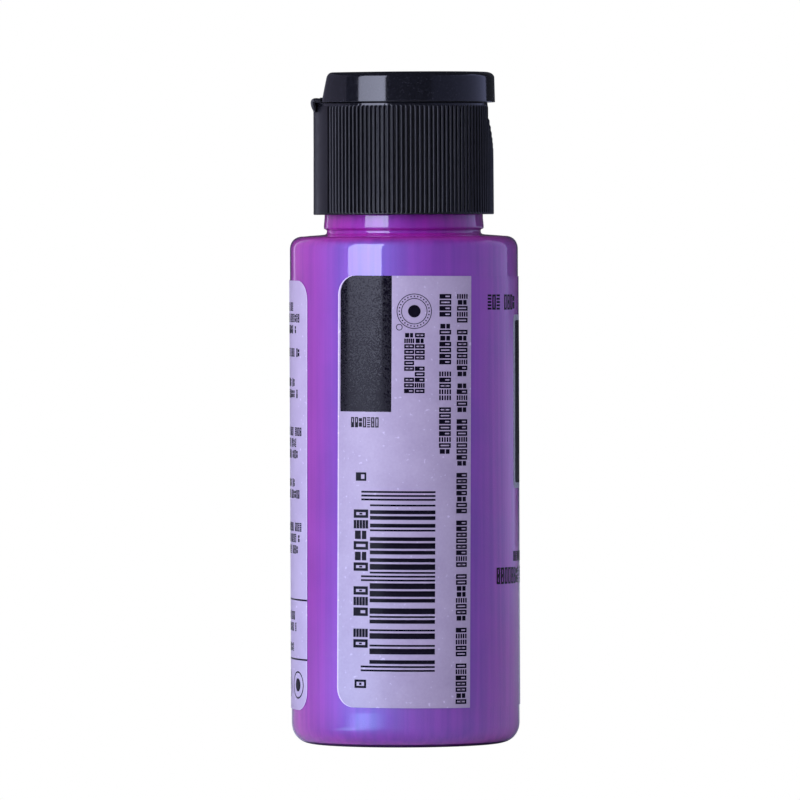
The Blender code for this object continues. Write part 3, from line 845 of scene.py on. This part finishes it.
def add_mark(bm, dice, u, v, advance, height, upright):
    """One meaningless block of a greeked line: a frame of some kind, or a pile or a pair of bars."""
    stroke = min(MARK_STROKE[0] * advance, MARK_STROKE[1] * height)
    span = MARK_SPAN * advance
    offset = 0.5 * (span - stroke)
    rise = 0.5 * (height - stroke)
    inner = span - 2.0 * stroke
    posts = [(-offset, 0.0, stroke, height), (offset, 0.0, stroke, height)]
    plain_frame = posts + [(0.0, rise, inner, stroke), (0.0, -rise, inner, stroke)]
    filled_frame = plain_frame + [(0.0, -0.45 * rise, inner, 0.9 * rise)]
    cored_frame = plain_frame + [(0.0, 0.0, 0.6 * inner, 0.5 * rise)]
    pile = [(0.0, share * rise, span, stroke) for share in (-1.0, -0.5, 0.0, 0.5, 1.0)]
    pair = [(0.0, 0.55 * rise, span, 0.75 * rise), (0.0, -0.5 * rise, span, rise)]
    parts = dice.choice((plain_frame, cored_frame, filled_frame, pile, pair))
    for along, across, length, tall in parts:
        if upright:
            add_box(bm, u + across, v - along, tall, length)
        else:
            add_box(bm, u + along, v + across, length, tall)


def greeked_line(bm, dice, start, length, height, advance, upright=False):
    """Blocks grouped like words along a line that starts at (u, v) and runs right, or down if upright."""
    u, v = start
    gone = 0.5 * advance
    left_in_word = dice.randint(*WORD_LENGTHS)
    while gone < length:
        if left_in_word:
            place = (u, v - gone) if upright else (u + gone, v)
            add_mark(bm, dice, *place, advance, height, upright)
            left_in_word -= 1
        else:
            left_in_word = dice.randint(*WORD_LENGTHS)
        gone += advance


def greeked_lines(bm, dice, lines, upright=False):
    """Greeked lines from (u, v, length, height, advance) rows in mm."""
    for row in lines:
        u, v, length, height, advance = [size * MM for size in row]
        greeked_line(bm, dice, (u, v), length, height, advance, upright)


def striped_block(bm):
    """A pattern of stripes stacked up the back panel, with longer ones at its ends and middle."""
    dice = random.Random(SEEDS["stripes"])
    bottom, top = STRIPES_V
    at_bottom, at_top, at_middle = LONG_ROWS
    count = int((top - bottom) / STRIPE_UNIT)
    row = 0
    while row < count:
        thick = min(dice.choice(STRIPE_ROWS), count - row)
        long = row < at_bottom or row > count - at_top or abs(row - count // 2) < at_middle
        if long:
            thick = 1
        low = bottom + row * STRIPE_UNIT
        start = LONG_STRIPE_START if long else STRIPES_U[0]
        add_slab(bm, rectangle(start, STRIPES_U[1], low, low + STRIPE_UNIT * thick), PRINT_LEVEL)
        row += thick + (1 if long else dice.choice(STRIPE_GAPS))


def back_panel_print():
    """Generic print on the back panel: stripes, a roundel and greeked lines."""
    dice = random.Random(SEEDS["back"])
    bm = bmesh.new()
    greeked_lines(bm, dice, BLOCK_CAPTION)
    striped_block(bm)
    greeked_lines(bm, dice, STRIPES_CAPTION, upright=True)
    for radius, steps in ROUNDEL_RINGS:
        add_ring(bm, ROUNDEL, radius, radius - ROUNDEL_LINE, steps)
    for i in range(ROUNDEL_DOTS):
        around = math.tau * i / ROUNDEL_DOTS
        place = ROUNDEL + Vector((math.cos(around), math.sin(around))) * ROUNDEL_DOT_CIRCLE
        add_box(bm, *place, ROUNDEL_DOT, ROUNDEL_DOT)
    add_slab(bm, disc(*ROUNDEL, ROUNDEL_CORE), PRINT_LEVEL)
    add_ring(bm, SMALL_RING, SMALL_RING_RADIUS, SMALL_RING_RADIUS - ROUNDEL_LINE, 20)
    greeked_lines(bm, dice, BACK_COLUMNS, upright=True)
    return bm


def trailing_panel_print():
    """Greeked paragraphs, two rules and a plain emblem at the label's trailing end."""
    dice = random.Random(SEEDS["trailing"])
    end = along_wall(LABEL_END)
    left = along_wall(PARAGRAPH_START)
    start = left + PARAGRAPH_MARGIN[0]
    length = end - PARAGRAPH_MARGIN[1] - start
    bm = bmesh.new()
    for top, lines in PARAGRAPHS:
        for line in range(lines):
            rag = dice.uniform(0.0, PARAGRAPH_RAG) * MM
            place = (start, top * MM - PARAGRAPH_PITCH * line)
            greeked_line(bm, dice, place, length - rag, *PARAGRAPH_LETTER)
    for v in RULES:
        add_slab(bm, rectangle(left, end, (v - RULE_HALF) * MM, (v + RULE_HALF) * MM), PRINT_LEVEL)
    for inset in EMBLEM_INSETS:
        centre = Vector((end - PARAGRAPH_MARGIN[1] - inset, EMBLEM_HEIGHT))
        add_ring(bm, centre, *EMBLEM_RING)
        add_slab(bm, disc(*centre, EMBLEM_CORE), PRINT_LEVEL)
    return bm


def front_print():
    """Greeked lines above and below the front's framed panel."""
    bm = bmesh.new()
    greeked_lines(bm, random.Random(SEEDS["front"]), FRONT_LINES)
    return bm


def framed_panel(panel, outline, light):
    """The front's black panel, its pale outline and a plain brush stroke of colour on it."""
    u_from, u_to, v_from, v_to = FRONT_PANEL
    add_slab(outline, rectangle(*FRONT_PANEL, FRONT_CORNERS[0]), PANEL_LEVEL)
    inside = (u_from + FRONT_BORDER, u_to - FRONT_BORDER, v_from + FRONT_BORDER, v_to - FRONT_BORDER)
    add_slab(panel, rectangle(*inside, FRONT_CORNERS[1]), PRINT_LEVEL)
    dice = random.Random(SEEDS["strokes"])
    level = PRINT_LEVEL + INK_THICKNESS
    for row in range(STROKES):
        low = (STROKES_START + STROKES_PITCH * row) * MM
        start = u_from + (STROKES_INSET + dice.uniform(0.0, STROKES_RAG[0])) * MM
        end = u_to - (STROKES_INSET + dice.uniform(0.0, STROKES_RAG[1])) * MM
        add_slab(light, rectangle(start, end, low, low + STROKE_WIDTH, STROKE_CORNERS), level)
    for row in FRONT_BLOCKS:
        v, height, advance, inset = [size * MM for size in row]
        width = u_to - u_from - 2.0 * inset
        blocks = int(width / advance)
        half_w, half_h = FRONT_BLOCK_HALF * advance, 0.5 * height
        for i in range(blocks):
            u = u_from + inset + (i + 0.5) * width / blocks
            columns = rectangle(u - half_w, u + half_w, v - half_h, v + half_h, FRONT_BLOCK_CORNERS)
            add_slab(light, columns, level)


def label_piece(name, bm, materials):
    piece = add_piece(name, bm, materials, sharp=60.0)
    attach(piece, "bottle_body")
    return piece


def make_label():
    start, end = along_wall(LABEL_START), along_wall(LABEL_END)
    height = (LABEL_BOTTOM, LABEL_TOP)
    film = bmesh.new()
    add_slab(film, rectangle(start, end, *height, (LABEL_CORNER,) * 4), FILM_LEVEL, FILM_THICKNESS)
    film_paint = pearl("paint_under_film", FILM_COAT, WALL_FLOP_AND_RIM_SHADE, PEARL_IOR)
    film_piece = add_piece("label_film", film, [film_paint], sharp=60.0)
    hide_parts("label")
    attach(film_piece, "bottle_body")

    leading_corners = (LABEL_CORNER, LABEL_CORNER, 0.0, 0.0)
    trailing_corners = (0.0, 0.0, LABEL_CORNER, LABEL_CORNER)
    edges, back, trailing, block = bmesh.new(), bmesh.new(), bmesh.new(), bmesh.new()
    edge_level = 0.5 * (FILM_LEVEL + PANEL_LEVEL)
    strips = ((start, start + EDGE_STRIP, leading_corners), (end - EDGE_STRIP, end, trailing_corners))
    for u_from, u_to, corners in strips:
        add_slab(edges, rectangle(u_from, u_to, *height, corners), edge_level, EDGE_THICKNESS)
    add_slab(back, rectangle(start + LABEL_EDGE, BACK_PANEL_END, *height, leading_corners), PANEL_LEVEL)
    trailing_box = (along_wall(TRAILING_PANEL_START), end - LABEL_EDGE, *height)
    add_slab(trailing, rectangle(*trailing_box, trailing_corners), PANEL_LEVEL)
    # the lavender ink lightened 1.75 times: partly an unprinted margin, partly a painted highlight on the
    # cut edges
    label_piece("label_edges", edges, [lavender_ink("pale_edge_and_highlight", painted_light_gain=1.75)])
    label_piece("label_back_panel", back, [lavender_ink("lavender_ink")])
    # a lighter copy of the lavender ink: painted light on the panel at the lit left side
    label_piece("label_trailing_panel", trailing, [lavender_ink("trailing_ink_painted_lighter", painted_light_gain=1.3)])

    black = dark_ink("black_ink", (0.004, 0.003, 0.007), (0.15, 0.2))
    block_box = (start + BLOCK_INSET, BLOCK_END, BLOCK_BOTTOM, LABEL_TOP)
    add_slab(block, rectangle(*block_box, (0.0, BLOCK_CORNER, 0.0, 0.0)), PRINT_LEVEL)
    label_piece("label_dark_block", block, [block_ink()])
    label_piece("label_back_print", back_panel_print(), [black])
    label_piece("label_trailing_print", trailing_panel_print(), [black])
    label_piece("label_front_print", front_print(), [black])
    panel, outline, strokes = bmesh.new(), bmesh.new(), bmesh.new()
    framed_panel(panel, outline, strokes)
    label_piece("label_front_panel", panel, [black])
    pale = dark_ink("pale_outline", (0.32, 0.33, 0.36), (0.3, 0.4))
    label_piece("label_front_outline", outline, [pale])
    label_piece("label_front_strokes", strokes, [lavender_ink("stroke_ink")])


# ---------------------------------------------------------------- closure


def rib_angles():
    """Angles of the skirt's columns in degrees from +X, eleven to a rib and sparser where it is smooth."""
    angles = []
    for i in range(RIBS_CUT):
        angles += [FIRST_RIB + RIB_PITCH * (i + share) for share, _ in RIB_PROFILE]
    last = FIRST_RIB + RIB_PITCH * RIBS_CUT
    for i in range(SMOOTH_STEPS):
        angles.append(last + (360.0 + FIRST_RIB - last) * i / SMOOTH_STEPS)
    angles.append(360.0 + FIRST_RIB - SMOOTH_END * RIB_PITCH)
    return angles


def smooth_step(value):
    value = min(1.0, max(0.0, value))
    return value * value * (3.0 - 2.0 * value)


def rib_valley(angle):
    """1 in a valley between ribs and 0 on a rib's crest."""
    place = ((angle - FIRST_RIB) % 360.0) / RIB_PITCH
    if place >= RIBS_CUT - TINY:
        return SMOOTH_SINK
    share = (place + TINY) % 1.0
    stops = (*RIB_PROFILE, (1.0, RIB_PROFILE[0][1]))
    for (near, depth), (far, next_depth) in zip(stops, stops[1:]):
        if share < far:
            return depth + (next_depth - depth) * max(0.0, share - near) / (far - near)
    return RIB_PROFILE[0][1]


def scoop_limit(angle, z):
    """The radius that the thumb scoop leaves at an angle and height, or a large one outside it.

    The scoop is cut in steps, rib by rib.
    """
    angle = RIB_PITCH * math.floor(angle / RIB_PITCH + 0.5)
    depth = max((cut for foot, cut in SCOOP_STEPS if z > foot * MM), default=0.0) * MM
    if depth <= 0.0 or math.cos(math.radians(angle)) <= 0.0:
        return 1.0
    rise = (z - SCOOP_BOTTOM) / (RIB_TOP - SCOOP_BOTTOM)
    factor, power = SCOOP_WIDENING
    half_width = SCOOP_HALF_WIDTH * min(1.0, factor * rise**power)
    side = SKIRT_RADIUS * math.sin(math.radians(angle)) / half_width
    return SKIRT_RADIUS - depth * (1.0 - side**4) if abs(side) < 1.0 else 1.0


def skirt_rows():
    """(z, inset, share of the ribs' depth) of the skirt's rings, from its bottom to the ribs' heads."""
    rows = [(SKIRT_BOTTOM + rise * MM, inset * MM, share) for rise, inset, share in SKIRT_FOOT]
    start, under, steps = SCOOP_ROWS
    length = RIB_TOP - under - start
    rows += [(start + length * i / steps, SCOOP_ROW_INSET, 1.0) for i in range(steps + 1)]
    for under, share in RIB_HEAD:
        rows.append((RIB_TOP - under * MM, RIB_HEAD_INSET + RIB_HEAD_TAPER * (1.0 - share), share))
    return rows


def closure_inside():
    """(r, z) line over the deck and the spout, through the orifice and down the bore."""
    line = in_mm(PLATEAU_FOOT, PLATEAU_RADIUS, DECK_TOP) + in_mm(PLATEAU_EDGE, PLATEAU_RADIUS, PLATEAU_TOP)
    line += in_mm(SPOUT_FOOT, 0.0, PLATEAU_TOP) + in_mm(SPOUT_LINE, 0.0, SPOUT_TOP)
    line += in_mm(ORIFICE_FOOT, 0.0, DECK_BOTTOM)
    line += in_mm(((-BORE_CORNER, 0.0), (0.0, -BORE_CORNER)), CLOSURE_BORE, DECK_BOTTOM)
    return line + in_mm(BORE_FOOT) + in_mm(SKIRT_FOOT_INSIDE, 0.0, SKIRT_BOTTOM)


def make_closure():
    angles = rib_angles()
    bm = bmesh.new()

    def outer(z, base, share):
        def radius_at(angle):
            return min(base - RIB_DEPTH * rib_valley(angle) * share, scoop_limit(angle, z))

        return polar_loop(bm, angles, radius_at, lambda angle: z)

    loops = [outer(z, SKIRT_RADIUS - inset, share) for z, inset, share in skirt_rows()]
    loops += [outer(z, r, 0.0) for r, z in in_mm(DECK_EDGE)]
    for r, z in closure_inside():
        loops.append(polar_loop(bm, angles, lambda angle: r, lambda angle: z))
    for near, far in zip(loops, loops[1:] + loops[:1]):
        join_loops(bm, near, far)
    closure = add_piece("closure_skirt", bm, [ribbed_black(), gloss_black()], sharp=45.0)
    for face in closure.data.polygons:
        centre = face.center
        if RIB_TOP < centre.z < GLOSS_TOP and centre.xy.length > GLOSS_RADIUS:
            face.material_index = 1
    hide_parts("cap_body")
    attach(closure, "closure_body")


def make_liner():
    low, high = LINER_BOX
    outline = in_mm(((-LINER_EDGE, 0.0), (0.0, LINER_EDGE)), high.x, low.z)
    outline += in_mm(((0.0, -LINER_EDGE), (-LINER_EDGE, 0.0)), high.x, high.z)
    outline = [(LINER_HOLE, low.z)] + outline + [(LINER_HOLE, high.z)]
    liner = turned("foam_liner", outline, [foam()], closed=True)
    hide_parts("liner")
    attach(liner, "liner_body")


# ---------------------------------------------------------------- lid


def lid_radius(angle, z, inset):
    """The lid's radius at an angle from +X: a drafted cylinder cut by the slanted rear face."""
    share = (z - LID_BOTTOM) / (LID_TOP - LID_BOTTOM)
    wall = LID_RADIUS - LID_DRAFT * share - inset
    facing = -math.cos(math.radians(angle))
    if facing < LID_REAR_FACING:
        return wall
    rear = (LID_BACK_FOOT + (LID_BACK_HEAD - LID_BACK_FOOT) * share - inset) / facing
    near, far = min(wall, rear), max(wall, rear)
    return near - LID_BACK_CORNER * math.log(1.0 + math.exp((near - far) / LID_BACK_CORNER))


def lid_shell_loops(bm):
    """Rings of the lid from its crown, down outside, and up inside to the roof."""
    angles = [360.0 * i / LID_STEPS for i in range(LID_STEPS)]
    edge_z = LID_TOP - LID_CROWN

    def lean(angle, z, r):
        """How far the top's slope lowers a point; it fades out down the wall."""
        share = (z - LID_BOTTOM) / (LID_TOP - LID_BOTTOM)
        return LID_LEAN * share**4 * 0.5 * (1.0 - r / LID_RADIUS * math.cos(math.radians(angle)))

    def ring(z, inset, scale=1.0, shrink=0.0):
        def radius_at(angle):
            rear = smooth_step((-math.cos(math.radians(angle)) - LID_REAR_START) / LID_REAR_SPAN)
            return scale * lid_radius(angle, z, inset * (1.0 - shrink * rear))

        return polar_loop(bm, angles, radius_at, lambda angle: z - lean(angle, z, radius_at(angle)))

    loops = [[bm.verts.new((0.0, 0.0, LID_TOP - lean(0.0, LID_TOP, 0.0)))]]
    for scale in LID_CROWN_SHARES:
        loops.append(ring(LID_TOP - LID_CROWN * scale**2, LID_EDGE_IN, scale))
    for i in range(LID_EDGE_STEPS + 1):
        swing = math.radians(90.0 - 90.0 * i / LID_EDGE_STEPS)
        z = edge_z - LID_EDGE_DOWN * (1.0 - math.sin(swing))
        loops.append(ring(z, LID_EDGE_IN * (1.0 - math.cos(swing)), 1.0, LID_REAR_EDGE))
    wall_top = edge_z - LID_EDGE_DOWN
    for i in range(1, LID_WALL_STEPS + 1):
        loops.append(ring(wall_top + (LID_BOTTOM + LID_FOOT_TOP - wall_top) * i / LID_WALL_STEPS, 0.0))
    for rise, inset in LID_FOOT:
        loops.append(ring(LID_BOTTOM + rise * MM, inset * MM))
    loops.append(ring(LID_BOTTOM, LID_WALL))
    under, near, far = LID_ROOF_FILLET
    loops.append(ring(LID_CEILING - under, LID_WALL + near))
    loops.append(ring(LID_CEILING, LID_WALL + far))
    loops.append([bm.verts.new((0.0, 0.0, LID_CEILING))])
    return loops


def add_block(bm, low, high, bevel):
    """A box with rounded edges."""
    corner = bmesh.ops.create_cube(bm, size=1.0)["verts"]
    middle = 0.5 * (low + high)
    size = high - low
    for vertex in corner:
        vertex.co = Vector((vertex.co.x * size.x, vertex.co.y * size.y, vertex.co.z * size.z)) + middle
    edges = {edge for vertex in corner for edge in vertex.link_edges}
    bmesh.ops.bevel(bm, geom=list(edges), offset=bevel, segments=3, profile=0.5, affect="EDGES")


def make_lid():
    bm = bmesh.new()
    loops = lid_shell_loops(bm)
    for near, far in zip(loops, loops[1:]):
        join_loops(bm, near, far)
    pin, seal = SEAL_LINE[0][0], SEAL_LINE[-1][0]
    plug = in_mm(PIN_LINE) + in_mm(((PIN_RADIUS, -PLUG_SINK), (pin, -PLUG_SINK)), 0.0, LID_CEILING)
    plug += in_mm(SEAL_LINE) + in_mm(((seal, PLUG_SINK), (0.0, PLUG_SINK)), 0.0, LID_CEILING)
    turn_into(bm, plug)
    half = STRAP_BOX[1].y - STRAP_BOX[0].y + LEAF_SPARE
    low = Vector((LEAF_FROM.x, -half, LEAF_FROM.y))
    high = Vector((LEAF_TO.x, half, LEAF_TO.y))
    add_block(bm, low, high, LEAF_BEVEL)
    lid = add_piece("flip_lid", bm, [gloss_black()], sharp=40.0)
    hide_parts("lid")
    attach(lid, "lid_body")


# ---------------------------------------------------------------- hinge


def bent_strap(name, y_from, y_to, thickness, spread, node):
    """A strap that loops out from the skirt's rear wall and back over the rim to the lid's leaf."""
    path = [(x * spread, z) for x, z in STRAP_RISE] + [(x * spread, z * spread) for x, z in STRAP_LOOP]
    smooth = refine([HINGE_AXIS + Vector(place) * MM for place in path], STRAP_STEPS)
    bm = bmesh.new()
    sections = []
    for i, point in enumerate(smooth):
        ahead = smooth[min(i + 1, len(smooth) - 1)]
        behind = smooth[max(i - 1, 0)]
        along = (ahead - behind).normalized()
        normal = Vector((-along.y, along.x))
        taper = STRAP_TIP + (1.0 - STRAP_TIP) * smooth_step(i / STRAP_TAPER_STEPS)
        half = 0.5 * thickness * taper
        shallow = half - STRAP_CORNER
        edge = [(y_from, shallow), (y_from + STRAP_CORNER, half)]
        edge += [(y_to - STRAP_CORNER, half), (y_to, shallow)]
        edge += [(y, -reach) for y, reach in reversed(edge)]
        places = [(y, point + normal * reach) for y, reach in edge]
        sections.append([bm.verts.new((place.x, y, place.y)) for y, place in places])
    close_tube(bm, sections)
    strap = add_piece(name, bm, [ribbed_black()], sharp=50.0)
    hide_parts(node)
    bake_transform(strap)


def refine(points, steps):
    """A smooth curve through the points, by Catmull-Rom."""
    padded = [2.0 * points[0] - points[1]] + points + [2.0 * points[-1] - points[-2]]
    curve = []
    for before, here, there, after in zip(padded, padded[1:], padded[2:], padded[3:]):
        for i in range(steps):
            t = i / steps
            a = 2.0 * here
            b = there - before
            c = 2.0 * before - 5.0 * here + 4.0 * there - after
            d = 3.0 * here - before - 3.0 * there + after
            curve.append(0.5 * (a + b * t + c * t**2 + d * t**3))
    curve.append(points[-1])
    return curve


def make_hinge():
    pieces = (
        ("strap_near", "hinge_strap_near", STRAP_THICKNESS, 1.0),
        ("strap_far", "hinge_strap_far", STRAP_THICKNESS, 1.0),
        ("hinge_web", "hinge_film", WEB_THICKNESS, WEB_SPREAD),
    )
    for name, node, thickness, spread in pieces:
        low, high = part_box(node)
        bent_strap(name, low.y, high.y, thickness, spread, node)


# ---------------------------------------------------------------- studio


def make_camera():
    camera = bpy.data.cameras.new("camera")
    camera.lens = CAMERA_LENS
    camera.sensor_width = SENSOR_WIDTH
    camera.clip_start, camera.clip_end = CLIP
    eye = Vector((CAMERA_SIDE, -CAMERA_DISTANCE, CAMERA_HEIGHT))
    aim = Vector((CAMERA_SIDE, 0.0, CAMERA_AIM))
    holder = add_object("camera", camera)
    holder.location = eye
    holder.rotation_mode = "QUATERNION"
    roll = Quaternion((0.0, 0.0, 1.0), math.radians(CAMERA_ROLL))
    holder.rotation_quaternion = (aim - eye).to_track_quat("-Z", "Y") @ roll
    bpy.context.scene.camera = holder


def make_world():
    """White behind everything, and a dim room for light and reflections."""
    world = bpy.data.worlds.new("studio")
    world.use_nodes = True
    nodes, links = world.node_tree.nodes, world.node_tree.links
    nodes.clear()
    seen = add_node(nodes, "Background", Color=(1.0, 1.0, 1.0, 1.0))
    room = add_node(nodes, "Background", Color=(*ROOM_TINT, 1.0), Strength=ROOM_LIGHT)
    path = add_node(nodes, "LightPath")
    mix = add_node(nodes, "MixShader")
    links.new(path.outputs["Is Camera Ray"], mix.inputs["Fac"])
    links.new(room.outputs["Background"], mix.inputs[1])
    links.new(seen.outputs["Background"], mix.inputs[2])
    output = add_node(nodes, "OutputWorld")
    links.new(mix.outputs["Shader"], output.inputs["Surface"])
    bpy.context.scene.world = world


def card(name, azimuths, heights, distance, strengths, tint, mirrored, reach):
    """A curved light card round the bottle, whose glow changes evenly from one side to the other.

    Its second edge lies further out than its first by the reach.
    """
    material = bpy.data.materials.new(name)
    material.use_nodes = True
    nodes, links = material.node_tree.nodes, material.node_tree.links
    nodes.clear()
    glow = add_node(nodes, "Attribute")
    glow.attribute_name = "glow"
    emission = add_node(nodes, "Emission", Color=(*tint, 1.0))
    links.new(glow.outputs["Fac"], emission.inputs["Strength"])
    output = add_node(nodes, "OutputMaterial")
    links.new(emission.outputs["Emission"], output.inputs["Surface"])
    steps = max(1, math.ceil(abs(azimuths[1] - azimuths[0]) / CARD_STEP))
    points, values, faces = [], [], []
    for i in range(steps + 1):
        share = i / steps
        around = math.radians(azimuths[0] + (azimuths[1] - azimuths[0]) * share)
        for height, away in zip(heights, (distance, distance + reach)):
            points.append((away * math.sin(around), -away * math.cos(around), height))
            values.append(strengths[0] + (strengths[1] - strengths[0]) * share)
        if i:
            faces.append((2 * i - 2, 2 * i, 2 * i + 1, 2 * i - 1))
    mesh = bpy.data.meshes.new(name)
    mesh.from_pydata(points, [], faces)
    mesh.attributes.new("glow", "FLOAT", "POINT").data.foreach_set("value", values)
    mesh.materials.append(material)
    piece = add_object(name, mesh)
    piece.visible_camera = False
    piece.visible_glossy = mirrored


def make_lights():
    for row in CARDS:
        card(*row)


def make_floor():
    bm = bmesh.new()
    bmesh.ops.create_grid(bm, x_segments=1, y_segments=1, size=FLOOR_HALF)
    floor = add_piece("floor", bm, [pale_floor()])


def main():
    bpy.context.scene.view_settings.view_transform = "Standard"
    make_camera()
    make_world()
    make_lights()
    make_floor()
    make_bottle()
    make_paint()
    make_label()
    make_closure()
    make_liner()
    make_lid()
    make_hinge()


main()
